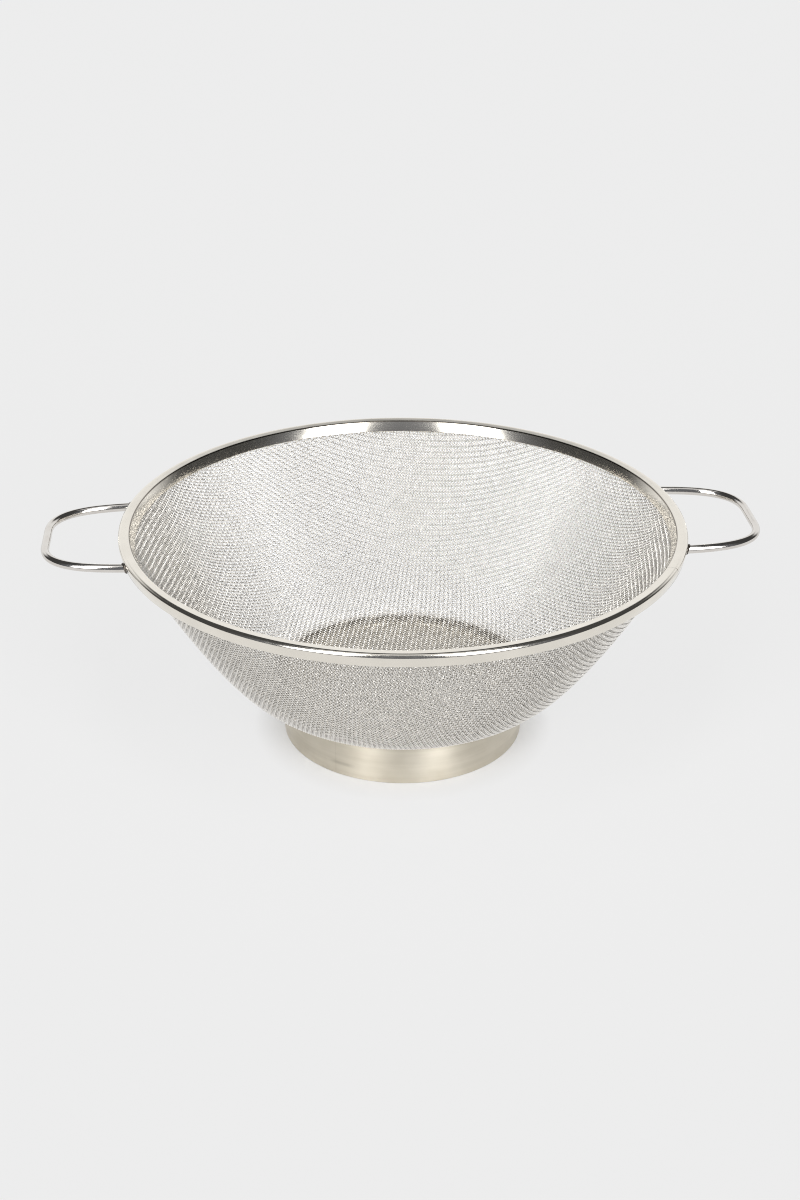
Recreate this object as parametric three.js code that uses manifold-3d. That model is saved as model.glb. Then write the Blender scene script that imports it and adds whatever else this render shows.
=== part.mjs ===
// Wire-cloth strainer: a pressed mesh bowl held in a folded rim band, two wire handles and a foot ring.
// Millimetres, +Z up. The origin is on the table, under the middle of the foot ring.
// The handles lie along X, and the front of the strainer faces -Y.
import * as THREE from 'three';
import { mergeVertices } from 'three/addons/utils/BufferGeometryUtils.js';
import Module from 'manifold-3d';

// Rim band: a steel strip folded over the edge of the cloth and over a core wire
const rimRadius = 130.5; // outside of the band, where its skirt meets its top
const rimHeight = 107; // table to the top of the band
const bandStrip = 0.5; // thickness of the strip
const bandTopWidth = 5.6; // from the outside of the skirt to the inside of the lip
const bandTopFall = 0.5; // how far the top slopes down towards the bowl
const skirtDepth = 6.1; // outer leg of the fold
const skirtDraft = 1.3; // how far the skirt leans in at its lower edge
const lipDepth = 5.4; // inner leg of the fold
const lipLean = 2.5; // how far the lip leans in at its lower edge
const lipBend = 0.7; // bend radius between the top and the lip, at the middle of the strip
const coreWire = 2.8; // diameter of the wire inside the fold

// Wire cloth of the bowl
const clothWire = 0.5; // diameter of each woven wire, which lie two deep at a crossing
const clothTuck = 3.6; // length of cloth held inside the band
const knuckleReach = 14.8; // how far the floor's line leads the curve round the knuckle
const wallReach = 44.6; // how far the wall's line leads the curve down from the mouth

// Coarse grid that stands for the open weave: each opening takes two steps of three, both ways,
// which leaves the cloth about as open as its weave does
const wallRows = 5; // rows of openings up the wall
const floorRows = 3; // rows on the floor, inside the foot ring
const wallColumns = 24; // columns round the wall and the outer row of the floor

// Foot ring: a drawn collar with a flange under the floor of the bowl
const footRadius = 57; // outside of the wall
const footHeight = 24.2; // table to the top of the flange
const footWall = 0.8;
const flangeWidth = 7; // how far the flange stands out from the wall
const footBend = 2; // bend radius between wall and flange, at the middle of the sheet

// Wire handles, welded to the skirt
const handleRod = 3.8;
const handleProjection = 33.8; // from the skirt to the outside of the bow
const legSpacing = 66.8; // between the middles of the two legs, at the rim
const legLean = 1.4; // degrees that each leg turns in from straight out
const legReach = 22; // how far a leg's line leads the bend
const bowStraight = 17; // straight length in the middle of the bow
const bowReach = 20.7; // how far the bow's line leads the bend
const handleDrop = 4.1; // from the top of the band down to the middle of the rod
const weldThroat = 0.9; // how far a weld bead stands out round its leg
const weldLength = 1.8; // how far a weld bead runs along its leg

// Clearances between pieces that touch on the real object
const seatGap = 0.3;
const weldGap = 0.15;

// Fineness of the round shapes
const roundSteps = 72;
const bendSteps = 4;
const rodSides = 12;
const handleSteps = 44;

const wasm = await Module();
wasm.setup();

const polishedSteel = () =>
  new THREE.MeshStandardMaterial({ color: 0xd9d5cf, roughness: 0.12, metalness: 1 });
const satinSteel = () =>
  new THREE.MeshStandardMaterial({ color: 0xc8c1b1, roughness: 0.38, metalness: 1 });
const wovenSteel = () =>
  new THREE.MeshStandardMaterial({ color: 0xc9c7c1, roughness: 0.3, metalness: 1 });
const weldedSteel = () =>
  new THREE.MeshStandardMaterial({ color: 0x8f8880, roughness: 0.45, metalness: 1 });

const point = (x, y) => new THREE.Vector2(x, y);

// A line through corners in the plane of radius and height, each inner corner rounded to its bend radius.
function bentLine(corners, bends) {
  const line = [corners[0]];
  for (let i = 1; i < corners.length - 1; i += 1) {
    const before = corners[i - 1].clone().sub(corners[i]).normalize();
    const after = corners[i + 1].clone().sub(corners[i]).normalize();
    const halfAngle = Math.acos(before.dot(after)) / 2;
    const middle = before.clone().add(after).normalize();
    const centre = corners[i].clone().addScaledVector(middle, bends[i - 1] / Math.sin(halfAngle));
    const tangent = bends[i - 1] / Math.tan(halfAngle);
    const from = corners[i].clone().addScaledVector(before, tangent).sub(centre).angle();
    const to = corners[i].clone().addScaledVector(after, tangent).sub(centre).angle();
    const sweep = Math.atan2(Math.sin(to - from), Math.cos(to - from));
    for (let k = 0; k <= bendSteps; k += 1) {
      const angle = from + (sweep * k) / bendSteps;
      line.push(point(Math.cos(angle), Math.sin(angle)).multiplyScalar(bends[i - 1]).add(centre));
    }
  }
  line.push(corners[corners.length - 1]);
  return line;
}

// The same line moved sideways, to its left for a positive distance, with its spacing kept at the corners.
function besideLine(line, distance) {
  return line.map((here, i) => {
    const into = here.clone().sub(line[Math.max(i - 1, 0)]).normalize();
    const out = line[Math.min(i + 1, line.length - 1)].clone().sub(here).normalize();
    const along = into.clone().add(out).normalize();
    const stretch = i === 0 || i === line.length - 1 ? 1 : along.dot(out);
    return point(here.x - (along.y * distance) / stretch, here.y + (along.x * distance) / stretch);
  });
}

// Section of a sheet of one thickness that follows a middle line.
function sheetSection(line, thickness) {
  const rightSide = besideLine(line, -thickness / 2);
  const leftSide = besideLine(line, thickness / 2);
  return [...rightSide, ...leftSide.reverse()];
}

// A section turned round the Z axis. Its points run anticlockwise, with radius to the right and height up.
function turned(section, onAxis = false) {
  const outline = onAxis ? section : [...section, section[0]];
  return new THREE.LatheGeometry(outline, roundSteps).rotateX(Math.PI / 2);
}

// A sheet that follows a middle line from the Z axis outwards, turned round that axis. isOpen says
// which cells are left out, by the number of the step round the axis and of the step along the line.
function turnedWithOpenings(line, thickness, isOpen) {
  const sides = [besideLine(line, -thickness / 2), besideLine(line, thickness / 2)];
  const count = line.length;
  const positions = [];
  for (const side of sides) {
    for (let turn = 0; turn < roundSteps; turn += 1) {
      const angle = (2 * Math.PI * turn) / roundSteps;
      for (const { x, y } of side) positions.push(x * Math.cos(angle), x * Math.sin(angle), y);
    }
  }
  const low = (turn, k) => (k === 0 ? 0 : (turn % roundSteps) * count + k);
  const high = (turn, k) => low(turn, k) + roundSteps * count;
  const solid = (turn, k) => k >= 0 && k < count - 1 && !isOpen((turn + roundSteps) % roundSteps, k);
  const faces = [];
  const addFace = (a, b, c, d) => {
    if (a !== b && a !== c && b !== c) faces.push(a, b, c);
    if (a !== c && a !== d && c !== d) faces.push(a, c, d);
  };
  for (let i = 0; i < roundSteps; i += 1) {
    for (let k = 0; k < count - 1; k += 1) {
      if (!solid(i, k)) continue;
      const j = i + 1;
      const n = k + 1;
      addFace(high(i, k), high(i, n), high(j, n), high(j, k));
      addFace(low(i, k), low(j, k), low(j, n), low(i, n));
      if (!solid(j, k)) addFace(low(j, k), high(j, k), high(j, n), low(j, n));
      if (!solid(i - 1, k)) addFace(low(i, k), low(i, n), high(i, n), high(i, k));
      if (!solid(i, n)) addFace(low(i, n), low(j, n), high(j, n), high(i, n));
      if (k > 0 && !solid(i, k - 1)) addFace(low(i, k), high(i, k), high(j, k), low(j, k));
    }
  }
  const geometry = new THREE.BufferGeometry();
  geometry.setAttribute('position', new THREE.Float32BufferAttribute(positions, 3));
  geometry.setIndex(faces);
  return geometry;
}

function toSolid(geometry) {
  const bare = geometry.clone();
  bare.deleteAttribute('normal');
  bare.deleteAttribute('uv');
  const merged = mergeVertices(bare);
  return new wasm.Manifold(
    new wasm.Mesh({
      numProp: 3,
      vertProperties: new Float32Array(merged.attributes.position.array),
      triVerts: new Uint32Array(merged.index.array),
    }),
  );
}

function fromSolid(solid) {
  const mesh = solid.getMesh();
  const geometry = new THREE.BufferGeometry();
  geometry.setAttribute('position', new THREE.BufferAttribute(mesh.vertProperties, 3));
  geometry.setIndex(new THREE.BufferAttribute(mesh.triVerts, 1));
  geometry.computeVertexNormals();
  return geometry;
}

function named(name, geometry, material) {
  const mesh = new THREE.Mesh(geometry, material);
  mesh.name = name;
  return mesh;
}

// Rim band
const halfStrip = bandStrip / 2;
const rimBend = coreWire / 2 + seatGap + halfStrip;
const skirtFoot = point(rimRadius - skirtDraft - halfStrip, rimHeight - skirtDepth);
const skirtTop = point(rimRadius - halfStrip, rimHeight - halfStrip);
const lipTop = point(rimRadius - bandTopWidth + halfStrip, rimHeight - bandTopFall - halfStrip);
const lipFoot = point(lipTop.x - lipLean, rimHeight - lipDepth);
const bandLine = bentLine([skirtFoot, skirtTop, lipTop, lipFoot], [rimBend, lipBend]);
const rimBand = turned(sheetSection(bandLine, bandStrip));

// Core wire, in the bend between skirt and top
const toSkirt = skirtFoot.clone().sub(skirtTop).normalize();
const toLip = lipTop.clone().sub(skirtTop).normalize();
const bendHalfAngle = Math.acos(toSkirt.dot(toLip)) / 2;
const coreCentre = skirtTop
  .clone()
  .addScaledVector(toSkirt.clone().add(toLip).normalize(), rimBend / Math.sin(bendHalfAngle));
const rimCore = new THREE.TorusGeometry(coreCentre.x, coreWire / 2, rodSides, roundSteps);
rimCore.translate(0, 0, coreCentre.y);

// Cloth bowl: flat floor, knuckle and wall, then a straight edge tucked up behind the lip
const clothThickness = 2 * clothWire;
const floorRadius = footRadius + flangeWidth;
const floorMiddle = footHeight + seatGap + clothThickness / 2;
const lipRise = lipTop.clone().sub(lipFoot).normalize();
const behindLip = halfStrip + seatGap + clothThickness / 2;
const mouth = point(lipFoot.x + lipRise.y * behindLip, lipFoot.y - lipRise.x * behindLip);
const clothWall = new THREE.CubicBezierCurve(
  point(floorRadius, floorMiddle),
  point(floorRadius + knuckleReach, floorMiddle),
  mouth.clone().addScaledVector(lipRise, -wallReach),
  mouth,
);
// Each row on the floor is a bar and then an opening twice as wide, and on the wall the other way round.
const floorBar = (footRadius - footWall) / (3 * floorRows + 1);
const floorLine = [point(0, floorMiddle)];
for (let row = 0; row < floorRows; row += 1) {
  floorLine.push(point((3 * row + 1) * floorBar, floorMiddle), point((3 * row + 3) * floorBar, floorMiddle));
}
floorLine.push(point((3 * floorRows + 1) * floorBar, floorMiddle));
const clothLine = [
  ...floorLine,
  ...clothWall.getPoints(3 * wallRows),
  mouth.clone().addScaledVector(lipRise, clothTuck),
];

// Rows nearer the middle of the floor have half as many columns each.
function isClothOpen(turn, step) {
  const wallStep = step - floorLine.length;
  let columns = 0;
  if (wallStep >= 0 && wallStep < 3 * wallRows && wallStep % 3 < 2) columns = wallColumns;
  if (step < 2 * floorRows && step % 2 === 1) columns = wallColumns / 2 ** (floorRows - (step + 1) / 2);
  return columns > 0 && (turn % (roundSteps / columns)) * 3 * columns < 2 * roundSteps;
}

const meshBowl = fromSolid(toSolid(turnedWithOpenings(clothLine, clothThickness, isClothOpen)));

// Foot ring
const wallMiddle = footRadius - footWall / 2;
const flangeMiddle = footHeight - footWall / 2;
const footLine = bentLine(
  [point(floorRadius, flangeMiddle), point(wallMiddle, flangeMiddle), point(wallMiddle, 0)],
  [footBend],
);
const footRing = turned(sheetSection(footLine, footWall));

// One handle, on the +X side, before its ends are cut to the skirt
const handleHeight = rimHeight - handleDrop;
const skirtLean = skirtDraft / skirtDepth;
const skirtRadiusAt = (height) => rimRadius - (rimHeight - height) * skirtLean;
const bowMiddle = rimRadius + handleProjection - handleRod / 2;
const legMeets = Math.sqrt(skirtRadiusAt(handleHeight) ** 2 - (legSpacing / 2) ** 2);
const legStart = legMeets - handleRod;
const lean = THREE.MathUtils.degToRad(legLean);

function handlePath() {
  const at = (x, y) => new THREE.Vector3(x, y, handleHeight);
  const path = new THREE.CurvePath();
  const legControl = [legStart + legReach * Math.cos(lean), legSpacing / 2 - legReach * Math.sin(lean)];
  const bowControl = [bowMiddle, bowStraight / 2 + bowReach];
  path.add(
    new THREE.CubicBezierCurve3(
      at(legStart, -legSpacing / 2),
      at(legControl[0], -legControl[1]),
      at(bowControl[0], -bowControl[1]),
      at(bowMiddle, -bowStraight / 2),
    ),
  );
  path.add(new THREE.LineCurve3(at(bowMiddle, -bowStraight / 2), at(bowMiddle, bowStraight / 2)));
  path.add(
    new THREE.CubicBezierCurve3(
      at(bowMiddle, bowStraight / 2),
      at(bowControl[0], bowControl[1]),
      at(legControl[0], legControl[1]),
      at(legStart, legSpacing / 2),
    ),
  );
  return path;
}

function rodSection() {
  const section = new THREE.Shape();
  section.absarc(0, 0, handleRod / 2, 0, 2 * Math.PI);
  return section;
}

const uncutHandle = new THREE.ExtrudeGeometry(rodSection(), {
  steps: handleSteps,
  curveSegments: rodSides / 2,
  bevelEnabled: false,
  extrudePath: handlePath(),
});

// Everything within a gap of the skirt's cone, which the handle and its welds stop short of
function insideSkirt(gap) {
  const low = handleHeight - handleRod - skirtDepth;
  const high = handleHeight + handleRod + skirtDepth;
  const cone = [
    point(0, low),
    point(skirtRadiusAt(low) + gap, low),
    point(skirtRadiusAt(high) + gap, high),
    point(0, high),
  ];
  return toSolid(turned(cone, true));
}

const wireHandle = fromSolid(toSolid(uncutHandle).subtract(insideSkirt(seatGap)));

// Weld bead: a collar round the end of a leg that tapers off along it
function weldBead(legSide) {
  const boreRadius = handleRod / 2 + weldGap;
  const beadEnd = handleRod + weldLength;
  const collar = [
    point(boreRadius, 0),
    point(boreRadius + weldThroat, 0),
    point(boreRadius + weldThroat, handleRod),
    point(boreRadius + weldThroat / 3, beadEnd),
    point(boreRadius, beadEnd),
  ];
  const ring = new THREE.LatheGeometry([...collar, collar[0]], 2 * rodSides);
  ring.rotateZ(-Math.PI / 2 - legSide * lean);
  ring.translate(legStart, (legSide * legSpacing) / 2, handleHeight);
  return fromSolid(toSolid(ring).subtract(insideSkirt(weldGap)));
}

const strainer = new THREE.Group();
strainer.add(named('mesh_bowl', meshBowl, wovenSteel()));
strainer.add(named('rim_band', rimBand, polishedSteel()));
strainer.add(named('rim_core_wire', rimCore, wovenSteel()));
strainer.add(named('foot_ring', footRing, satinSteel()));

// The left handle is the right one turned half way round, so its front leg is the other one.
for (const [side, turn] of [['right', 0], ['left', Math.PI]]) {
  const handle = new THREE.Group();
  handle.rotation.z = turn;
  handle.add(named(`${side}_handle`, wireHandle, polishedSteel()));
  for (const legSide of [-1, 1]) {
    const end = legSide * Math.cos(turn) < 0 ? 'front' : 'back';
    handle.add(named(`${side}_handle_${end}_weld`, weldBead(legSide), weldedSteel()));
  }
  strainer.add(handle);
}

export default strainer;
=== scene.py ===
import math
import bpy
import numpy as np
from mathutils import Matrix, Vector, noise


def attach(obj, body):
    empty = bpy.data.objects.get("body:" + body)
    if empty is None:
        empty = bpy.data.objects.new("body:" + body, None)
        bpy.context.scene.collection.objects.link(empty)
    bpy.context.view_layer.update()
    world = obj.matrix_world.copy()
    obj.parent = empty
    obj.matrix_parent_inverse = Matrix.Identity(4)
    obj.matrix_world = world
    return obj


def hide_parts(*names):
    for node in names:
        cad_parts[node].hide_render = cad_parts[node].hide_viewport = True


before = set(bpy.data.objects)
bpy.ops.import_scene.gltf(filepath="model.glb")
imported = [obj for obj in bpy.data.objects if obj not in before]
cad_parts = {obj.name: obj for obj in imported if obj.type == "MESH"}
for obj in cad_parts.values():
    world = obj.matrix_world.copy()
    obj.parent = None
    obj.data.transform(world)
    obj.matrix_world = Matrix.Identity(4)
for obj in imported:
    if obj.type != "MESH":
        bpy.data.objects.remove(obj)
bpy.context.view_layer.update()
scene = bpy.context.scene
mm = 0.001

# the camera stands a little to the left of straight ahead
cameraTurn = math.radians(-4.8)


def toLinear(hexColour):
    values = [int(hexColour[i:i + 2], 16) / 255 for i in (1, 3, 5)]
    return [v / 12.92 if v <= 0.04045 else ((v + 0.055) / 1.055) ** 2.4 for v in values] + [1.0]


def setInputs(tree, node, inputs):
    # a socket is linked, and any other value is set as a constant
    for name, value in inputs.items():
        if isinstance(value, bpy.types.NodeSocket):
            tree.links.new(value, node.inputs[name])
        else:
            node.inputs[name].default_value = value


def addNode(tree, kind, inputs, stops=(), **settings):
    # stops are the places and colours of a colour ramp
    node = tree.nodes.new(kind)
    for name, value in settings.items():
        setattr(node, name, value)
    for number, (position, hexColour) in enumerate(stops):
        node.color_ramp.elements[number].position = position
        node.color_ramp.elements[number].color = toLinear(hexColour)
    setInputs(tree, node, inputs)
    return node


def newMaterial(name):
    material = bpy.data.materials.new(name)
    material.use_nodes = True
    tree = material.node_tree
    return material, tree, tree.nodes["Principled BSDF"]


def fromAxis(tree, place):
    # distance from the strainer's upright axis
    plan = addNode(tree, "ShaderNodeVectorMath", {0: place, 1: (1, 1, 0)}, operation="MULTIPLY")
    distance = addNode(tree, "ShaderNodeVectorMath", {0: plan.outputs["Vector"]}, operation="LENGTH")
    return distance.outputs["Value"]


def within(tree, value, middle, inner, outer):
    # 1 within a distance of the middle and 0 beyond a longer one
    off = addNode(tree, "ShaderNodeMath", {0: value, 1: middle}, operation="SUBTRACT")
    off = addNode(tree, "ShaderNodeMath", {0: off.outputs[0]}, operation="ABSOLUTE")
    return addNode(tree, "ShaderNodeMapRange", {"Value": off.outputs[0], "From Min": inner, "From Max": outer,
                                                "To Min": 1.0, "To Max": 0.0}).outputs["Result"]


def addPiece(name, points, faces, uvs, material, slot, *nodes, ends=()):
    # points in millimetres; uvs hold one pair for each corner of each face; ends are the flat end faces
    mesh = bpy.data.meshes.new(name)
    mesh.from_pydata((np.asarray(points) * mm).tolist(), [], np.asarray(faces).tolist() + list(ends))
    layer = mesh.uv_layers.new(name="OFBake")
    corners = np.zeros((len(layer.data), 2), dtype=np.float32)
    corners[:4 * len(faces)] = np.asarray(uvs).reshape(-1, 2)
    layer.data.foreach_set("uv", corners.ravel())
    mesh.materials.append(material)
    mesh.polygons.foreach_set("use_smooth", np.ones(len(mesh.polygons), dtype=bool))
    mesh.update()
    piece = bpy.data.objects.new(name, mesh)
    scene.collection.objects.link(piece)
    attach(piece, "root")
    if nodes:
        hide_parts(*nodes)
    return piece


def gridFaces(rows, columns, closedRows=False, closedColumns=False):
    # quads over a grid of points, with corner uvs that run 0 to 1 both ways
    i, j = np.meshgrid(np.arange(rows if closedRows else rows - 1),
                       np.arange(columns if closedColumns else columns - 1), indexing="ij")
    i, j = i.ravel(), j.ravel()
    i2, j2 = i + 1, j + 1
    at = lambda a, b: (a % rows) * columns + b % columns
    faces = np.stack([at(i, j), at(i2, j), at(i2, j2), at(i, j2)], axis=1)
    u = lambda a: a / (rows if closedRows else rows - 1)
    v = lambda b: b / (columns if closedColumns else columns - 1)
    uvs = np.stack([np.stack([u(i), v(j)], 1), np.stack([u(i2), v(j)], 1),
                    np.stack([u(i2), v(j2)], 1), np.stack([u(i), v(j2)], 1)], axis=1)
    return faces, uvs


def endFaces(rows, columns, start=0):
    # the first and the last row of a tube as one face each, both facing out
    first = start + np.arange(columns)
    last = start + (rows - 1) * columns + np.arange(columns)[::-1]
    return [first.tolist(), last.tolist()]


def endRings(rows):
    # marks the first and the last ring of a tube
    return np.isin(np.arange(rows), [0, rows - 1])


def creaseRings(piece, columns, creased):
    # shading breaks at the creased rings of a tube instead of running on smoothly
    rings = np.empty(2 * len(piece.data.edges), dtype=np.int32)
    piece.data.edges.foreach_get("vertices", rings)
    rings = rings.reshape(-1, 2) // columns
    sharp = piece.data.attributes.new("sharp_edge", "BOOLEAN", "EDGE")
    sharp.data.foreach_set("value", (rings[:, 0] == rings[:, 1]) & creased[rings[:, 0]])


def cubicLine(p0, p1, p2, p3, steps):
    # points of a curve from p0 to p3 that leaves towards p1 and arrives from p2
    t = np.linspace(0, 1, steps)[:, None]
    return (1 - t) ** 3 * p0 + 3 * (1 - t) ** 2 * t * p1 + 3 * (1 - t) * t ** 2 * p2 + t ** 3 * p3


def bentLine(corners, bends, bendSteps):
    # a line through corners, each inner one rounded to its bend radius, with short steps beside each bend
    corners = [np.array(c, dtype=float) for c in corners]
    line = [corners[0]]
    for before, here, after, bend in zip(corners, corners[1:], corners[2:], bends):
        a = (before - here) / np.linalg.norm(before - here)
        b = (after - here) / np.linalg.norm(after - here)
        half = math.acos(np.clip(a @ b, -1, 1)) / 2
        centre = here + (a + b) / np.linalg.norm(a + b) * bend / math.sin(half)
        start, end = here + a * bend / math.tan(half) - centre, here + b * bend / math.tan(half) - centre
        turn = math.atan2(start[0] * end[1] - start[1] * end[0], start @ end)
        line.append((3 * (start + centre) + line[-1]) / 4)
        for k in range(bendSteps + 1):
            t = turn * k / bendSteps
            c, s = math.cos(t), math.sin(t)
            line.append(centre + np.array([c * start[0] - s * start[1], s * start[0] + c * start[1]]))
        line.append((3 * line[-1] + after) / 4)
    line.append(corners[-1])
    return np.array(line)


def sheetOutline(line, thickness, endSteps=4):
    # closed section of a sheet along its middle line, with both edges rounded over
    tangent = np.gradient(line, axis=0)
    tangent /= np.linalg.norm(tangent, axis=1)[:, None]
    left = np.stack([-tangent[:, 1], tangent[:, 0]], axis=1)
    half = thickness / 2
    first, last = line[0] + tangent[0] * half, line[-1] - tangent[-1] * half
    body = line.copy()
    body[0], body[-1] = first, last
    turn = np.linspace(0, math.pi, endSteps + 2)[1:-1]
    lastEnd = [last - left[-1] * half * math.cos(t) + tangent[-1] * half * math.sin(t) for t in turn]
    firstEnd = [first + left[0] * half * math.cos(t) - tangent[0] * half * math.sin(t) for t in turn]
    return np.vstack([body - left * half, lastEnd, (body + left * half)[::-1], firstEnd])


def turned(section, angles):
    # grid of points: one row for each angle, one column for each point of the section
    r, z = section[:, 0], section[:, 1]
    angles = np.broadcast_to(angles, (len(angles), len(r)))
    grid = np.stack([np.cos(angles) * r, np.sin(angles) * r, np.broadcast_to(z, angles.shape)], axis=2)
    return grid.reshape(-1, 3)


# Rim band, bowl and handles share these places, in millimetres of radius and height: the middle line
# of the strip at its bends and edges, and the outer face of the skirt
skirtFoot, skirtTop = (128.95, 100.9), (130.25, 106.75)
lipTop, lipFoot = (125.15, 106.25), (122.65, 101.6)
lipRise = np.array(lipTop) - lipFoot
lipRise /= np.linalg.norm(lipRise)
skirtFace = {"radius": 130.5, "height": 107.0, "flare": 1.3 / 6.1}
print("frame loaded")


# Wire cloth: a plain weave of round steel wire pressed into the bowl.
# Each mesh of a flat weave keeps its sides and only shears when the cloth is pressed, so the
# crossings are found one after another, each a pitch away from two neighbours on the bowl's surface.
cloth = {"pitch": 1.65, "wire": 0.5, "sides": 6, "turn": math.radians(34), "steps": 110, "bands": 6,
         "floorRadius": 64.0, "floorHeight": 25.0, "kneeRadius": 78.8, "wallReach": 44.6,
         "behindLip": 1.05, "tuck": 3.4, "floorCrimp": 0.34, "floorCrimpEnd": 66,
         "wallCrimp": 0.29, "wallCrimpStart": 78}

# the cloth's profile: the flat floor, the wall in one curve, and straight on behind the lip
mouth = np.array(lipFoot) + np.array([lipRise[1], -lipRise[0]]) * cloth["behindLip"]
floorRadii = np.linspace(0, cloth["floorRadius"], 200, endpoint=False)
floorLine = np.stack([floorRadii, np.full(len(floorRadii), cloth["floorHeight"])], 1)
wallLine = cubicLine(np.array([cloth["floorRadius"], cloth["floorHeight"]]),
                     np.array([cloth["kneeRadius"], cloth["floorHeight"]]),
                     mouth - lipRise * cloth["wallReach"], mouth, 400)
pastMouth = mouth + np.outer(np.linspace(0.5, 60, 100), lipRise)
clothLine = np.vstack([floorLine, wallLine, pastMouth])
lineRadius, lineHeight = clothLine[:, 0], clothLine[:, 1]
lineSlope = np.gradient(lineHeight, lineRadius)
lineLength = np.concatenate([[0], np.cumsum(np.linalg.norm(np.diff(clothLine, axis=0), axis=1))])
clothEdge = (mouth + lipRise * cloth["tuck"])[0]


def onBowl(x, y):
    # height and slope of the bowl there, and the distance from its axis
    r = np.hypot(x, y)
    return np.interp(r, lineRadius, lineHeight), np.interp(r, lineRadius, lineSlope), np.maximum(r, 1e-9)


def weaveCrossings(pitch, steps, rounds=12, margin=12):
    # a quarter of the cloth, diagonal by diagonal: each crossing is moved in a few rounds until it lies a
    # pitch from both neighbours, and those more than a margin in millimetres past the edge are dropped
    spread = np.full((steps, steps, 2), np.nan)
    along = np.interp(np.arange(steps) * pitch, lineLength, lineRadius)
    spread[:, 0] = np.stack([along, np.zeros(steps)], 1)
    spread[0, :] = np.stack([np.zeros(steps), along], 1)
    for diagonal in range(2, 2 * steps - 1):
        i = np.arange(max(1, diagonal - steps + 1), min(diagonal, steps))
        j = diagonal - i
        a, b, o = spread[i - 1, j], spread[i, j - 1], spread[i - 1, j - 1]
        az, bz = onBowl(*a.T)[0], onBowl(*b.T)[0]
        q = a + b - o
        for k in range(rounds):
            z, slope, r = onBowl(*q.T)
            zx, zy = slope * q[:, 0] / r, slope * q[:, 1] / r
            f = ((q - a) ** 2).sum(1) + (z - az) ** 2 - pitch ** 2
            g = ((q - b) ** 2).sum(1) + (z - bz) ** 2 - pitch ** 2
            fx, fy = 2 * (q[:, 0] - a[:, 0] + (z - az) * zx), 2 * (q[:, 1] - a[:, 1] + (z - az) * zy)
            gx, gy = 2 * (q[:, 0] - b[:, 0] + (z - bz) * zx), 2 * (q[:, 1] - b[:, 1] + (z - bz) * zy)
            det = fx * gy - fy * gx
            det = np.where(np.abs(det) < 1e-9, np.nan, det)
            q = q - np.stack([f * gy - g * fy, g * fx - f * gx], 1) / det[:, None]
        q[np.hypot(q[:, 0], q[:, 1]) > clothEdge + margin] = np.nan
        spread[i, j] = q
    return spread


quarter = weaveCrossings(cloth["pitch"], cloth["steps"])
print("weave laid:", int(np.isfinite(quarter[:, :, 0]).sum()), "crossings in a quarter")


def wirePath(i, shortestStub=0.1):
    # places along wire i of the first set, with its lift over and under each wire that it crosses
    signX = 1 if i >= 0 else -1
    row = quarter[abs(i)]
    row = row[np.isfinite(row[:, 0])]
    r = np.hypot(row[:, 0], row[:, 1])
    count = int(np.argmax(r > clothEdge)) if (r > clothEdge).any() else len(row)
    if count < 2:
        return None
    half = row[:count] * [signX, 1]
    if count < len(row):
        share = (clothEdge - r[count - 1]) / (r[count] - r[count - 1])
        last = half[-1] + (row[count] * [signX, 1] - half[-1]) * share
    number = np.arange(count)
    both = np.vstack([half[:0:-1] * [1, -1], half])
    order = np.concatenate([-number[:0:-1], number])
    middle = (both[1:] + both[:-1]) / 2
    flat = np.empty((2 * len(both) - 1, 2))
    flat[0::2], flat[1::2] = both, middle
    lift = np.zeros(len(flat))
    lift[0::2] = np.where((order + i) % 2 == 0, 1.0, -1.0)
    # a stub runs from the last crossing to the cloth's edge, unless it would be very short
    if count < len(row) and share > shortestStub:
        flat = np.vstack([last * [1, -1], flat, last])
        lift = np.concatenate([[0], lift, [0]])
    return flat, lift


def laidWires(swapped):
    # each wire of one set: its path on the bowl, with the bowl's normal and its lift at each place
    wires = []
    for i in range(-cloth["steps"] + 1, cloth["steps"]):
        found = wirePath(i)
        if found is None:
            continue
        flat, lift = found
        if swapped:
            flat, lift = flat[:, ::-1], -lift
        z, slope, r = onBowl(flat[:, 0], flat[:, 1])
        normal = np.stack([-slope * flat[:, 0] / r, -slope * flat[:, 1] / r, np.ones(len(r))], 1)
        normal /= np.linalg.norm(normal, axis=1)[:, None]
        # pressing pulls the wires straighter on the wall, and the floor keeps its full crimp
        crimp = np.interp(r, [cloth["floorCrimpEnd"], cloth["wallCrimpStart"]],
                          [cloth["floorCrimp"], cloth["wallCrimp"]])
        path = np.stack([flat[:, 0], flat[:, 1], z], 1) + normal * (lift * crimp)[:, None]
        wires.append((path, normal, lift))
    return wires


def sharedOut(wires):
    # the wires in their order, in bands of about the same size
    size = sum(len(path) for path, normal, lift in wires) / cloth["bands"]
    bands, filled = [[]], 0
    for wire in wires:
        if filled > size * len(bands) and len(bands) < cloth["bands"]:
            bands.append([])
        bands[-1].append(wire)
        filled += len(wire[0])
    return bands


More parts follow.
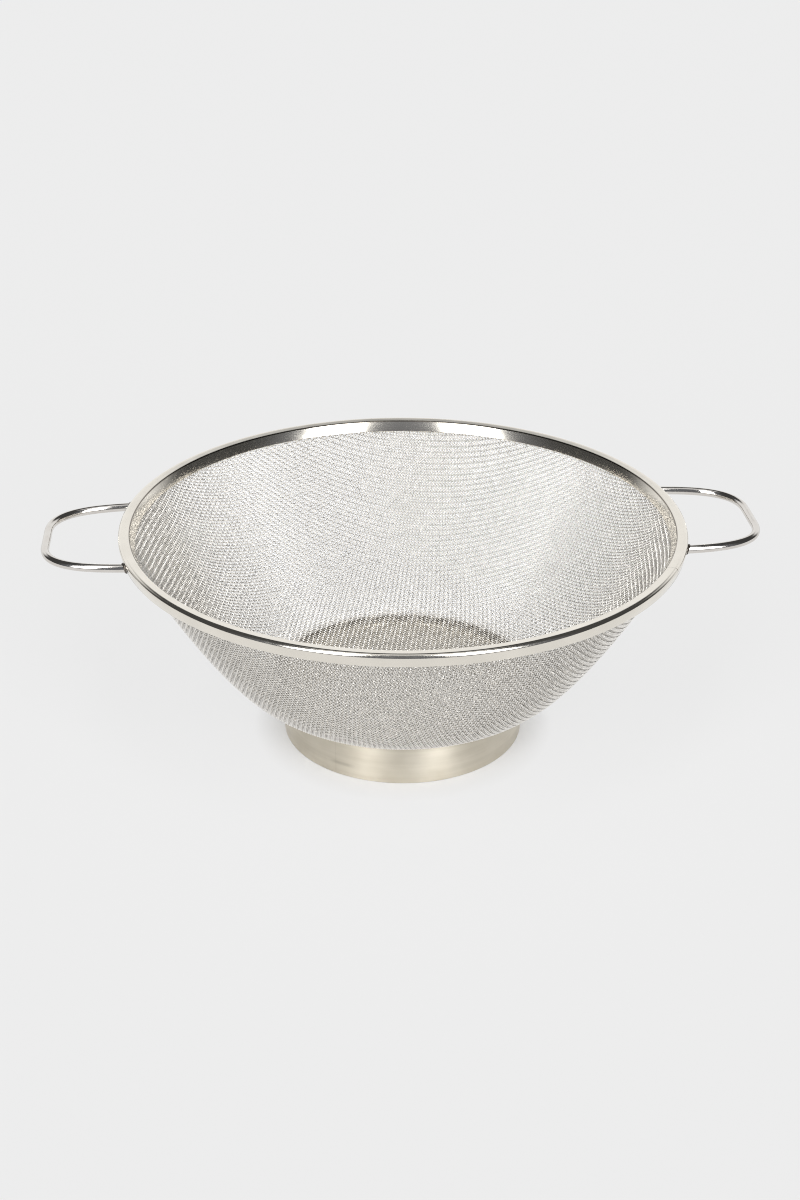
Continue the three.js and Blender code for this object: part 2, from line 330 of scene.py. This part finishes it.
def weaveWires(setName, swapped, material):
    sides, radius = cloth["sides"], cloth["wire"] / 2
    c, s = math.cos(cloth["turn"]), math.sin(cloth["turn"])
    spin = np.array([[c, s, 0], [-s, c, 0], [0, 0, 1]])
    angle = np.arange(sides) * 2 * math.pi / sides
    for number, wires in enumerate(sharedOut(laidWires(swapped)), 1):
        points, faces, uvs, ends, crowns, creased, start = [], [], [], [], [], [], 0
        for k, (path, normal, lift) in enumerate(wires):
            along = np.gradient(path, axis=0)
            along /= np.linalg.norm(along, axis=1)[:, None]
            across = np.cross(along, normal)
            across /= np.linalg.norm(across, axis=1)[:, None]
            up = np.cross(across, along)
            ring = (path[:, None] + radius * (across[:, None] * np.cos(angle)[None, :, None]
                                              + up[:, None] * np.sin(angle)[None, :, None]))
            quads, corners = gridFaces(len(path), sides, closedColumns=True)
            # each wire has its own strip of the bake map, with a margin on both sides
            corners[:, :, 1] = (k + 0.05 + 0.9 * corners[:, :, 1]) / len(wires)
            points.append(ring.reshape(-1, 3) @ spin)
            faces.append(quads + start)
            uvs.append(corners)
            ends += endFaces(len(path), sides, start)
            # crown is 1 on the side of a wire that bulges out of the cloth at a crossing and 0 on the side
            # that faces a hollow; the wire's colour turns it into a painted highlight and painted shade
            crowns.append((0.5 + 0.5 * lift[:, None] * np.sin(angle)[None, :]).ravel())
            creased.append((np.abs(lift) > 0.5) | endRings(len(path)))
            start += len(path) * sides
        piece = addPiece(f"cloth_{setName}_{number}", np.vstack(points), np.vstack(faces),
                         np.concatenate(uvs), material, "wire_cloth", "mesh_bowl", ends=ends)
        crown = piece.data.attributes.new("crown", "FLOAT", "POINT")
        crown.data.foreach_set("value", np.concatenate(crowns).astype(np.float32))
        # each wire bends only at its crossings and runs straight between them
        creaseRings(piece, sides, np.concatenate(creased))


# Bright drawn wire: a painted highlight on the crowns of the weave and painted shade in its hollows, with
# fine changes of tone and gloss along each wire
wireSteel, tree, shader = newMaterial("stainless_wire_bright_drawn")
place = addNode(tree, "ShaderNodeTexCoord", {}).outputs["Object"]
grain = addNode(tree, "ShaderNodeTexNoise", {"Vector": place, "Scale": 1 / (4 * mm),
                                             "Detail": 3.0}).outputs["Fac"]
crown = addNode(tree, "ShaderNodeAttribute", {}, attribute_name="crown").outputs["Fac"]
worn = addNode(tree, "ShaderNodeMapRange", {"Value": grain, "From Min": 0.3, "From Max": 0.7,
                                            "To Min": -0.08, "To Max": 0.08}).outputs["Result"]
# the flat floor of the bowl is painted lighter, as painted light
floorPaintedLight = addNode(tree, "ShaderNodeMapRange", {"Value": fromAxis(tree, place),
                                                 "From Min": 60 * mm, "From Max": 74 * mm,
                                                 "To Min": 0.1, "To Max": 0.0}).outputs["Result"]
# the crowns add a painted highlight and painted shade, the grain adds wear, and the floor adds painted light
paintedLightAndWear = addNode(tree, "ShaderNodeMath", {0: crown, 1: worn}, operation="ADD").outputs[0]
paintedLightAndWear = addNode(tree, "ShaderNodeMath", {0: paintedLightAndWear, 1: floorPaintedLight}, operation="ADD").outputs[0]
tone = addNode(tree, "ShaderNodeValToRGB", {"Fac": paintedLightAndWear}, stops=((0.31, "#c4c1bb"), (0.74, "#fefbf6")))
gloss = addNode(tree, "ShaderNodeMapRange", {"Value": grain, "From Min": 0.3, "From Max": 0.7,
                                             "To Min": 0.29, "To Max": 0.36})
setInputs(tree, shader, {"Base Color": tone.outputs["Color"], "Roughness": gloss.outputs["Result"],
                         "Metallic": 1.0})
weaveWires("warp", False, wireSteel)
weaveWires("weft", True, wireSteel)
print("wire cloth done")


# Rim band: a polished steel strip folded over the edge of the cloth, with its two ends butted near the
# right handle
band = {"strip": 0.5, "steps": 360, "bendSteps": 12, "outerBend": 1.4, "lipBend": 0.7, "foldLine": 125.0,
        "lipEdge": 124.8, "topEdge": 125.4, "seamTurn": math.radians(-27.5), "seamGap": 0.06,
        "seamNotch": 0.35, "notchFrom": 128.6, "notchFull": 129.6}

# Polished strip: a clear mirror with slow waves of the rolled steel, which make its reflections
# wander, under a fine haze of polishing marks. Real marks are far finer, and are drawn at 0.8 mm to show.
bandSteel, tree, shader = newMaterial("stainless_strip_polished")
place = addNode(tree, "ShaderNodeTexCoord", {}).outputs["Object"]
radius = fromAxis(tree, place)
waves = addNode(tree, "ShaderNodeTexNoise", {"Vector": place, "Scale": 1 / (14 * mm),
                                             "Detail": 1.0}).outputs["Fac"]
marks = addNode(tree, "ShaderNodeTexNoise", {"Vector": place, "Scale": 1 / (0.8 * mm),
                                             "Detail": 4.0}).outputs["Fac"]
haze = addNode(tree, "ShaderNodeMapRange", {"Value": marks, "From Min": 0.3, "From Max": 0.75,
                                            "To Min": 0.1, "To Max": 0.17}).outputs["Result"]
# the inner lip is out of reach of the polishing wheel and keeps the marks of rolling, which run round it
polished = addNode(tree, "ShaderNodeMapRange", {"Value": radius, "From Min": band["lipEdge"] * mm,
                                                "From Max": band["topEdge"] * mm}).outputs["Result"]
gloss = addNode(tree, "ShaderNodeMix", {0: polished, 2: 0.2, 3: haze}).outputs[0]
rolled = addNode(tree, "ShaderNodeMapRange", {"Value": polished, "To Min": 0.68,
                                              "To Max": 0.0}).outputs["Result"]
roundRing = addNode(tree, "ShaderNodeTangent", {}, direction_type="RADIAL", axis="Z").outputs["Tangent"]
tone = addNode(tree, "ShaderNodeValToRGB", {"Fac": waves}, stops=((0.3, "#e8e3d9"), (0.7, "#efeae0")))
# a fine dark line of painted shade lies in the fold between top and lip
foldShade = within(tree, radius, band["foldLine"] * mm, 0.12 * mm, 0.3 * mm)
foldShaded = addNode(tree, "ShaderNodeMix", {0: foldShade, 6: tone.outputs["Color"], 7: toLinear("#7d766d")},
                 data_type="RGBA").outputs[2]
bump = addNode(tree, "ShaderNodeBump", {"Height": waves, "Strength": 0.25, "Distance": 0.25 * mm})
setInputs(tree, shader, {"Base Color": foldShaded, "Roughness": gloss, "Normal": bump.outputs["Normal"],
                         "Anisotropic": rolled, "Tangent": roundRing, "Anisotropic Rotation": 0.25,
                         "Metallic": 1.0})

bandLine = bentLine([skirtFoot, skirtTop, lipTop, lipFoot], [band["outerBend"], band["lipBend"]],
                    band["bendSteps"])
bandSection = sheetOutline(bandLine, band["strip"])
# the ends meet closely on the top and the lip, and stand apart in a small notch at the outer bend
gap = np.interp(bandSection[:, 0], [band["notchFrom"], band["notchFull"]],
                [band["seamGap"], band["seamNotch"]])
seamHalf = gap / 2 / bandSection[:, 0]
share = np.linspace(0, 1, band["steps"])[:, None]
angles = band["seamTurn"] + seamHalf + (2 * math.pi - 2 * seamHalf) * share
points = turned(bandSection, angles)
faces, uvs = gridFaces(len(angles), len(bandSection), closedColumns=True)
strip = addPiece("rim_band_strip", points, faces, uvs, bandSteel, "polished_band", "rim_band",
                 ends=endFaces(len(angles), len(bandSection)))
creaseRings(strip, len(bandSection), endRings(len(angles)))
print("rim band done")


# Foot ring: a drawn collar of satin steel, with its flange under the floor of the bowl. Single marks are
# placed by their share of a turn and their height.
foot = {"wallMiddle": 56.6, "flangeMiddle": 23.8, "flangeEdge": 64.0, "sheet": 0.8, "bend": 2.0,
        "bendSteps": 12, "steps": 288, "girth": 64, "markLength": 60, "markWidth": 0.35,
        "lineTurn": 232.5 / 360, "scuffTurn": 236 / 360, "scuffHeight": 6.2}

# Satin sheet: marks of drawing and sanding run round the ring, so that highlights stretch up and down
# the wall. They are drawn wider than real sanding marks, so that they show.
footSteel, tree, shader = newMaterial("stainless_sheet_satin")
uvMap = addNode(tree, "ShaderNodeUVMap", {}, uv_map="OFBake")
split = addNode(tree, "ShaderNodeSeparateXYZ", {"Vector": uvMap.outputs["UV"]})
turnShare, girthShare = split.outputs["X"], split.outputs["Y"]
marksRound = 2 * math.pi * (foot["wallMiddle"] + foot["sheet"] / 2) / foot["markLength"]
marksAcross = foot["girth"] / foot["markWidth"]
around = addNode(tree, "ShaderNodeMath", {0: turnShare, 1: marksRound}, operation="MULTIPLY")
across = addNode(tree, "ShaderNodeMath", {0: girthShare, 1: marksAcross}, operation="MULTIPLY")
lines = addNode(tree, "ShaderNodeCombineXYZ", {"X": around.outputs[0], "Y": across.outputs[0]})
drawn = addNode(tree, "ShaderNodeTexNoise", {"Vector": lines.outputs[0], "Scale": 1.0,
                                             "Detail": 3.0}).outputs["Fac"]
place = addNode(tree, "ShaderNodeTexCoord", {}).outputs["Object"]
height = addNode(tree, "ShaderNodeSeparateXYZ", {"Vector": place}).outputs["Z"]
cloud = addNode(tree, "ShaderNodeTexNoise", {"Vector": place, "Scale": 1 / (18 * mm),
                                             "Detail": 3.0}).outputs["Fac"]
streaks = addNode(tree, "ShaderNodeMix", {0: 0.45, 2: cloud, 3: drawn}).outputs[0]
tone = addNode(tree, "ShaderNodeValToRGB", {"Fac": streaks}, stops=((0.35, "#d0c8b7"), (0.65, "#e6dfd0")))
satin = addNode(tree, "ShaderNodeMapRange", {"Value": drawn, "From Min": 0.25, "From Max": 0.75,
                                             "To Min": 0.34, "To Max": 0.45}).outputs["Result"]
# a faint upright line and a small scuff low on the wall, both left of the front, and the flange
# painted darker, as painted shade under the floor of the bowl
upright = within(tree, turnShare, foot["lineTurn"], 0.0002, 0.0014)
scuffRound = within(tree, turnShare, foot["scuffTurn"], 0.008, 0.02)
scuffHigh = within(tree, height, foot["scuffHeight"] * mm, 0.2 * mm, 1.3 * mm)
scuff = addNode(tree, "ShaderNodeMath", {0: scuffRound, 1: scuffHigh}, operation="MULTIPLY").outputs[0]
flangeShade = addNode(tree, "ShaderNodeMapRange", {"Value": height, "From Min": 23.6 * mm, "From Max": 24 * mm})
footTone = tone.outputs["Color"]
for mask, amount, dark in ((upright, 0.09, "#8d8473"), (scuff, 0.3, "#8d8473"),
                           (flangeShade.outputs["Result"], 0.8, "#5d564c")):
    part = addNode(tree, "ShaderNodeMath", {0: mask, 1: amount}, operation="MULTIPLY")
    footTone = addNode(tree, "ShaderNodeMix", {0: part.outputs[0], 6: footTone, 7: toLinear(dark)},
                       data_type="RGBA").outputs[2]
# the sanding stops short of the bend, so the bend and the flange keep their mill polish
mill = addNode(tree, "ShaderNodeMapRange", {"Value": height, "From Min": 20.5 * mm, "From Max": 22 * mm})
gloss = addNode(tree, "ShaderNodeMix", {0: mill.outputs["Result"], 2: satin, 3: 0.1}).outputs[0]
bump = addNode(tree, "ShaderNodeBump", {"Height": drawn, "Strength": 0.2, "Distance": 0.03 * mm})
roundRing = addNode(tree, "ShaderNodeTangent", {}, direction_type="RADIAL", axis="Z").outputs["Tangent"]
setInputs(tree, shader, {"Base Color": footTone, "Roughness": gloss, "Normal": bump.outputs["Normal"],
                         "Tangent": roundRing, "Anisotropic": 0.8, "Anisotropic Rotation": 0.25,
                         "Metallic": 1.0})

footLine = bentLine([(foot["flangeEdge"], foot["flangeMiddle"]), (foot["wallMiddle"], foot["flangeMiddle"]),
                     (foot["wallMiddle"], 0.0)], [foot["bend"]], foot["bendSteps"])
footSection = sheetOutline(footLine, foot["sheet"])
angles = np.arange(foot["steps"]) * 2 * math.pi / foot["steps"]
points = turned(footSection, angles[:, None])
faces, uvs = gridFaces(len(angles), len(footSection), closedRows=True, closedColumns=True)
addPiece("foot_ring_sheet", points, faces, uvs, footSteel, "satin_foot", "foot_ring")
print("foot ring done")


# Wire handles: bent polished rod, coped to the skirt
handle = {"rod": 3.8, "height": 102.9, "bowMiddle": 162.4, "legSpacing": 66.8, "legLean": math.radians(1.4),
          "legReach": 22.0, "bowStraight": 17.0, "bowReach": 20.7, "sides": 24, "steps": 60, "bowSteps": 6,
          "copeLength": 2.5, "offSkirt": 0.3}

# Polished rod: a bright mirror, a little wavy from bending, with polishing marks that are drawn at
# 0.6 mm, coarser than real ones, so that they show
rodSteel, tree, shader = newMaterial("stainless_rod_polished")
place = addNode(tree, "ShaderNodeTexCoord", {}).outputs["Object"]
waves = addNode(tree, "ShaderNodeTexNoise", {"Vector": place, "Scale": 1 / (7 * mm),
                                             "Detail": 2.0}).outputs["Fac"]
marks = addNode(tree, "ShaderNodeTexNoise", {"Vector": place, "Scale": 1 / (0.6 * mm),
                                             "Detail": 4.0}).outputs["Fac"]
gloss = addNode(tree, "ShaderNodeMapRange", {"Value": marks, "From Min": 0.3, "From Max": 0.75,
                                             "To Min": 0.06, "To Max": 0.15})
tone = addNode(tree, "ShaderNodeValToRGB", {"Fac": waves}, stops=((0.3, "#d8d3cd"), (0.7, "#e0ddd8")))
bump = addNode(tree, "ShaderNodeBump", {"Height": waves, "Strength": 0.3, "Distance": 0.2 * mm})
setInputs(tree, shader, {"Base Color": tone.outputs["Color"], "Roughness": gloss.outputs["Result"],
                         "Normal": bump.outputs["Normal"], "Metallic": 1.0})

# Weld metal: dull and dark, mottled by the heat, with a lumpy skin
weldSteel, tree, shader = newMaterial("stainless_weld_dull")
place = addNode(tree, "ShaderNodeTexCoord", {}).outputs["Object"]
lumps = addNode(tree, "ShaderNodeTexNoise", {"Vector": place, "Scale": 1 / (1.1 * mm),
                                             "Detail": 4.0}).outputs["Fac"]
tone = addNode(tree, "ShaderNodeValToRGB", {"Fac": lumps}, stops=((0.35, "#4a443e"), (0.68, "#8f8880")))
bump = addNode(tree, "ShaderNodeBump", {"Height": lumps, "Strength": 0.5, "Distance": 0.15 * mm})
gloss = addNode(tree, "ShaderNodeMapRange", {"Value": lumps, "To Min": 0.25, "To Max": 0.5})
setInputs(tree, shader, {"Base Color": tone.outputs["Color"], "Roughness": gloss.outputs["Result"],
                         "Normal": bump.outputs["Normal"], "Metallic": 1.0})


def skirtRadiusAt(z):
    # the skirt's outer face is a cone
    return skirtFace["radius"] - (skirtFace["height"] - z) * skirtFace["flare"]


def handleLine():
    # middle line of the right handle from above: front leg and corner, bow, back corner and leg
    meets = math.sqrt(skirtRadiusAt(handle["height"]) ** 2 - (handle["legSpacing"] / 2) ** 2)
    start = np.array([meets - handle["rod"], -handle["legSpacing"] / 2])
    lean = handle["legLean"]
    control = start + handle["legReach"] * np.array([math.cos(lean), math.sin(lean)])
    bowEnd = np.array([handle["bowMiddle"], -handle["bowStraight"] / 2])
    corner = cubicLine(start, control, bowEnd - [0, handle["bowReach"]], bowEnd, handle["steps"])
    bowSides = np.linspace(bowEnd[1], -bowEnd[1], handle["bowSteps"] + 2)[1:-1]
    bow = np.stack([np.full(len(bowSides), handle["bowMiddle"]), bowSides], 1)
    return np.vstack([corner, bow, corner[::-1] * [1, -1]])


def onSkirt(points, directions, gap, rounds=30):
    # moves each point along its direction until it stands a gap off the skirt's cone
    moved = points.copy()
    for k in range(rounds):
        r = np.hypot(moved[:, 0], moved[:, 1])
        short = skirtRadiusAt(moved[:, 2]) + gap - r
        slope = (moved[:, 0] * directions[:, 0] + moved[:, 1] * directions[:, 1]) / r
        moved = moved + directions * (short / slope)[:, None]
    return moved


def addHandle(side, spin):
    line = handleLine()
    keep = np.hypot(line[:, 0], line[:, 1]) > skirtRadiusAt(handle["height"]) + handle["copeLength"]
    path = np.vstack([line[0], line[keep], line[-1]])
    along = np.gradient(path, axis=0)
    along[0], along[-1] = along[1], along[-2]
    along /= np.linalg.norm(along, axis=1)[:, None]
    angle = np.arange(handle["sides"]) * 2 * math.pi / handle["sides"]
    out = np.stack([along[:, 1], -along[:, 0]], 1)
    radius = handle["rod"] / 2
    ring = np.zeros((len(path), handle["sides"], 3))
    ring[:, :, :2] = path[:, None] + radius * out[:, None] * np.cos(angle)[None, :, None]
    ring[:, :, 2] = handle["height"] + radius * np.sin(angle)[None, :]
    for end, way in ((0, 1), (-1, -1)):
        direction = np.tile(np.append(way * along[end], 0.0), (handle["sides"], 1))
        ring[end] = onSkirt(ring[end], direction, handle["offSkirt"])
    points = ring.reshape(-1, 3) @ np.diag([spin, spin, 1])
    faces, uvs = gridFaces(len(path), handle["sides"], closedColumns=True)
    rod = addPiece(f"{side}_handle_rod", points, faces, uvs, rodSteel, "polished_rod", f"{side}_handle",
                   ends=endFaces(len(path), handle["sides"]))
    creaseRings(rod, handle["sides"], endRings(len(path)))


# Weld beads: sizes in millimetres, and how far the noise is stretched round the bead
weld = {"throat": 0.5, "length": 0.9, "offRod": 0.15, "offSkirt": 0.16, "bulge": 0.35, "lumps": 0.12,
        "proud": 0.35, "throatWobble": 0.35, "lengthWobble": 0.3, "slowWaves": 1.6, "lumpWaves": 2.4,
        "sides": 40, "layers": 7}


def addWeld(name, legSide, spin, seed):
    # an uneven fillet from the skirt to the leg, proud of both
    line = handleLine()
    along = np.array([math.cos(handle["legLean"]), -legSide * math.sin(handle["legLean"]), 0.0])
    root = np.array([line[0][0], legSide * handle["legSpacing"] / 2, handle["height"]])
    side = np.array([-along[1], along[0], 0.0])
    bore = handle["rod"] / 2 + weld["offRod"]
    rows = []
    for k in range(weld["sides"]):
        angle = 2 * math.pi * k / weld["sides"]
        c, s = math.cos(angle), math.sin(angle)
        out = side * c + np.array([0, 0, s])
        wobble = noise.noise(Vector((weld["slowWaves"] * c, weld["slowWaves"] * s, seed)))
        throat = weld["throat"] * (1 + weld["throatWobble"] * wobble)
        length = weld["length"] * (1 + weld["lengthWobble"] * wobble)
        foot = onSkirt((root + out * bore)[None], along[None], weld["offSkirt"])[0]
        edge = onSkirt((root + out * (bore + throat))[None], along[None], weld["offSkirt"])[0]
        tip = onSkirt((root + out * bore)[None], along[None], weld["offSkirt"] + length)[0]
        layer = [foot]
        for m in range(weld["layers"]):
            t = m / (weld["layers"] - 1)
            bulge = weld["bulge"] * throat * math.sin(math.pi * t)
            lumpAt = Vector((weld["lumpWaves"] * c, weld["lumpWaves"] * s, seed + 2 * t))
            lump = weld["lumps"] * noise.noise(lumpAt)
            layer.append(edge * (1 - t) + tip * t + (out + along) * weld["proud"] * (bulge + lump))
        rows.append(layer)
    points = np.array(rows).reshape(-1, 3) @ np.diag([spin, spin, 1])
    faces, uvs = gridFaces(weld["sides"], weld["layers"] + 1, closedRows=True, closedColumns=True)
    addPiece(f"{name}_bead", points, faces, uvs, weldSteel, "weld_metal", name)


for side, spin in (("right", 1), ("left", -1)):
    addHandle(side, spin)
    for legSide in (-1, 1):
        end = "front" if legSide * spin < 0 else "back"
        # the last number gives each bead a shape of its own
        addWeld(f"{side}_handle_{end}_weld", legSide, spin, 3.7 * legSide + 9.1 * spin)
print("handles and welds done")


# Core wire inside the fold: the CAD ring, in plain drawn wire, which is an even dull grey
coreSteel, tree, shader = newMaterial("stainless_core_wire_drawn")
place = addNode(tree, "ShaderNodeTexCoord", {}).outputs["Object"]
grain = addNode(tree, "ShaderNodeTexNoise", {"Vector": place, "Scale": 1 / (3 * mm),
                                             "Detail": 3.0}).outputs["Fac"]
tone = addNode(tree, "ShaderNodeValToRGB", {"Fac": grain}, stops=((0.0, "#aaa69f"), (1.0, "#cbc8c2")))
setInputs(tree, shader, {"Base Color": tone.outputs["Color"], "Metallic": 1.0, "Roughness": 0.35})
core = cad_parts["rim_core_wire"]
core.data.materials.clear()
core.data.materials.append(coreSteel)


# Floor: pale and plain. The camera and the steel see part of it at its own pale level, as on a bright
# sweep of paper, and the rest keeps the strainer's soft shadow. The pale part shrinks towards the foot and
# under it, a painted shadow round the foot on top of the real one.
floorSize = {"front": -380, "reach": 9000, "drop": 0.2, "shadeEnd": 57, "paperStart": 72}
floorPaint, tree, shader = newMaterial("floor_pale_matt")
setInputs(tree, shader, {"Base Color": toLinear("#e2e2e2"), "Roughness": 0.9, "Specular IOR Level": 0.0})
place = addNode(tree, "ShaderNodeTexCoord", {}).outputs["Object"]
fromMiddle = addNode(tree, "ShaderNodeVectorMath", {0: place}, operation="LENGTH").outputs["Value"]
# the pale share grows from the foot outwards, which paints a shadow round and under the foot
paperBeyondPaintedShadow = addNode(tree, "ShaderNodeMapRange", {"Value": fromMiddle, "From Min": floorSize["shadeEnd"] * mm,
                                           "From Max": floorSize["paperStart"] * mm,
                                           "To Min": 0.36, "To Max": 0.86}).outputs["Result"]
rays = addNode(tree, "ShaderNodeLightPath", {})
seen = rays.outputs["Is Camera Ray"]
for kind in ("Is Glossy Ray", "Is Transmission Ray"):
    seen = addNode(tree, "ShaderNodeMath", {0: seen, 1: rays.outputs[kind]}, operation="MAXIMUM").outputs[0]
share = addNode(tree, "ShaderNodeMath", {0: seen, 1: paperBeyondPaintedShadow}, operation="MULTIPLY").outputs[0]
paper = addNode(tree, "ShaderNodeEmission", {"Color": toLinear("#efefef"), "Strength": 1.0}).outputs[0]
mixed = addNode(tree, "ShaderNodeMixShader", {0: share, 1: shader.outputs[0], 2: paper})
tree.links.new(mixed.outputs[0], tree.nodes["Material Output"].inputs["Surface"])
floorMesh = bpy.data.meshes.new("floor")
near, far = floorSize["front"] * mm, floorSize["reach"] * mm
floorMesh.from_pydata([(-far, near, 0), (far, near, 0), (far, far, 0), (-far, far, 0)], [], [(0, 1, 2, 3)])
floorMesh.materials.append(floorPaint)
floor = bpy.data.objects.new("floor", floorMesh)
floor.location = (0, 0, -floorSize["drop"] * mm)
scene.collection.objects.link(floor)


# Studio light: two soft boxes in front, a soft light above and a pale backdrop behind. Each is a level
# and the angles where it begins or ends: to either side of the camera, and up from the horizon.
studio = {"softBox": 7.3, "boxSides": (19.5, 43.5), "boxRise": (4, 67), "above": 0.8, "aboveRise": 72,
          "backdrop": 0.97, "backdropSide": 124, "backdropRise": 32, "front": 0.17,
          "side": 0.06, "sideFrom": 60}
world = bpy.data.worlds.new("studio")
scene.world = world
world.use_nodes = True
tree = world.node_tree
tree.nodes.clear()
output = addNode(tree, "ShaderNodeOutputWorld", {})
way = addNode(tree, "ShaderNodeTexCoord", {}).outputs["Generated"]
toCamera = (math.sin(cameraTurn), -math.cos(cameraTurn), 0)
toRight = (math.cos(cameraTurn), math.sin(cameraTurn), 0)
ahead = addNode(tree, "ShaderNodeVectorMath", {0: way, 1: toCamera}, operation="DOT_PRODUCT").outputs["Value"]
aside = addNode(tree, "ShaderNodeVectorMath", {0: way, 1: toRight}, operation="DOT_PRODUCT").outputs["Value"]
upward = addNode(tree, "ShaderNodeSeparateXYZ", {"Vector": way}).outputs["Z"]
turn = addNode(tree, "ShaderNodeMath", {0: aside, 1: ahead}, operation="ARCTAN2").outputs[0]
sideAngle = addNode(tree, "ShaderNodeMath", {0: turn}, operation="ABSOLUTE").outputs[0]
riseAngle = addNode(tree, "ShaderNodeMath", {0: upward}, operation="ARCSINE").outputs[0]


def partOfSky(*edges):
    # 1 inside a part of the sky and 0 outside it; each edge is a soft step, up or down, at an angle
    mask = 1.0
    for angle, degrees, soft, before, after in edges:
        low, high = math.radians(degrees - soft), math.radians(degrees + soft)
        step = addNode(tree, "ShaderNodeMapRange", {"Value": angle, "From Min": low, "From Max": high,
                                                    "To Min": before, "To Max": after},
                       interpolation_type="SMOOTHSTEP").outputs["Result"]
        mask = addNode(tree, "ShaderNodeMath", {0: step, 1: mask}, operation="MULTIPLY").outputs[0]
    return mask


def grey(level, tint="#ffffff"):
    return [level * c for c in toLinear(tint)[:3]] + [1.0]


sides = partOfSky((sideAngle, studio["sideFrom"], 15, 0.0, 1.0))
above = partOfSky((riseAngle, studio["aboveRise"], 4, 0.0, 1.0))
softBoxes = partOfSky((sideAngle, studio["boxSides"][0], 2, 0.0, 1.0),
                      (sideAngle, studio["boxSides"][1], 2, 1.0, 0.0),
                      (riseAngle, studio["boxRise"][0], 4, 0.0, 1.0),
                      (riseAngle, studio["boxRise"][1], 4, 1.0, 0.0))
backdrop = partOfSky((sideAngle, studio["backdropSide"], 13, 0.0, 1.0),
                     (riseAngle, studio["backdropRise"], 5, 1.0, 0.0))
sky = grey(studio["front"], "#edf1fb")
for mask, level in ((sides, studio["side"]), (above, studio["above"]), (softBoxes, studio["softBox"])):
    sky = addNode(tree, "ShaderNodeMix", {0: mask, 6: sky, 7: grey(level)}, data_type="RGBA").outputs[2]
# the backdrop is there to be seen and gives no light: the camera sees it all round, and steel and
# glass see it where it stands, behind the strainer
rays = addNode(tree, "ShaderNodeLightPath", {})
byCamera, bySteel = rays.outputs["Is Camera Ray"], rays.outputs["Is Glossy Ray"]
byGlass = rays.outputs["Is Transmission Ray"]
reflected = addNode(tree, "ShaderNodeMath", {0: bySteel, 1: byGlass}, operation="MAXIMUM").outputs[0]
reflected = addNode(tree, "ShaderNodeMath", {0: reflected, 1: backdrop}, operation="MULTIPLY").outputs[0]
seen = addNode(tree, "ShaderNodeMath", {0: byCamera, 1: reflected}, operation="MAXIMUM").outputs[0]
pale = addNode(tree, "ShaderNodeMix", {0: byCamera, 6: grey(studio["backdrop"]), 7: toLinear("#eeeeee")},
               data_type="RGBA").outputs[2]
shown = addNode(tree, "ShaderNodeMix", {0: seen, 6: sky, 7: pale}, data_type="RGBA").outputs[2]
light = addNode(tree, "ShaderNodeBackground", {"Color": shown})
tree.links.new(light.outputs[0], output.inputs["Surface"])
print("light and floor done")


# Camera, fitted to the rim, foot and handles in the photograph; the shift is in pixels of its frame
view = {"aim": (0, 0, 60), "distance": 875, "pitch": math.radians(27.24), "roll": math.radians(0.16),
        "sensor": 36, "lens": 55.68, "shift": (-2.88, 10.4), "frameHeight": 1200}
cameraData = bpy.data.cameras.new("camera")
cameraData.sensor_width = view["sensor"]
cameraData.lens = view["lens"]
cameraData.shift_x = view["shift"][0] / view["frameHeight"]
cameraData.shift_y = view["shift"][1] / view["frameHeight"]
camera = bpy.data.objects.new("camera", cameraData)
flat = math.cos(view["pitch"])
back = Vector((math.sin(cameraTurn) * flat, -math.cos(cameraTurn) * flat, math.sin(view["pitch"])))
camera.location = (Vector(view["aim"]) + back * view["distance"]) * mm
camera.rotation_mode = "QUATERNION"
roll = Matrix.Rotation(view["roll"], 3, "Z").to_quaternion()
camera.rotation_quaternion = (-back).to_track_quat("-Z", "Y") @ roll
scene.collection.objects.link(camera)
scene.camera = camera
scene.view_settings.view_transform = "Standard"
# the weave is about as fine as a pixel, so the denoiser takes its guiding passes unsmoothed and the
# pixels are filtered narrowly
scene.cycles.denoising_prefilter = "NONE"
scene.cycles.filter_width = 1.1

print("camera done")
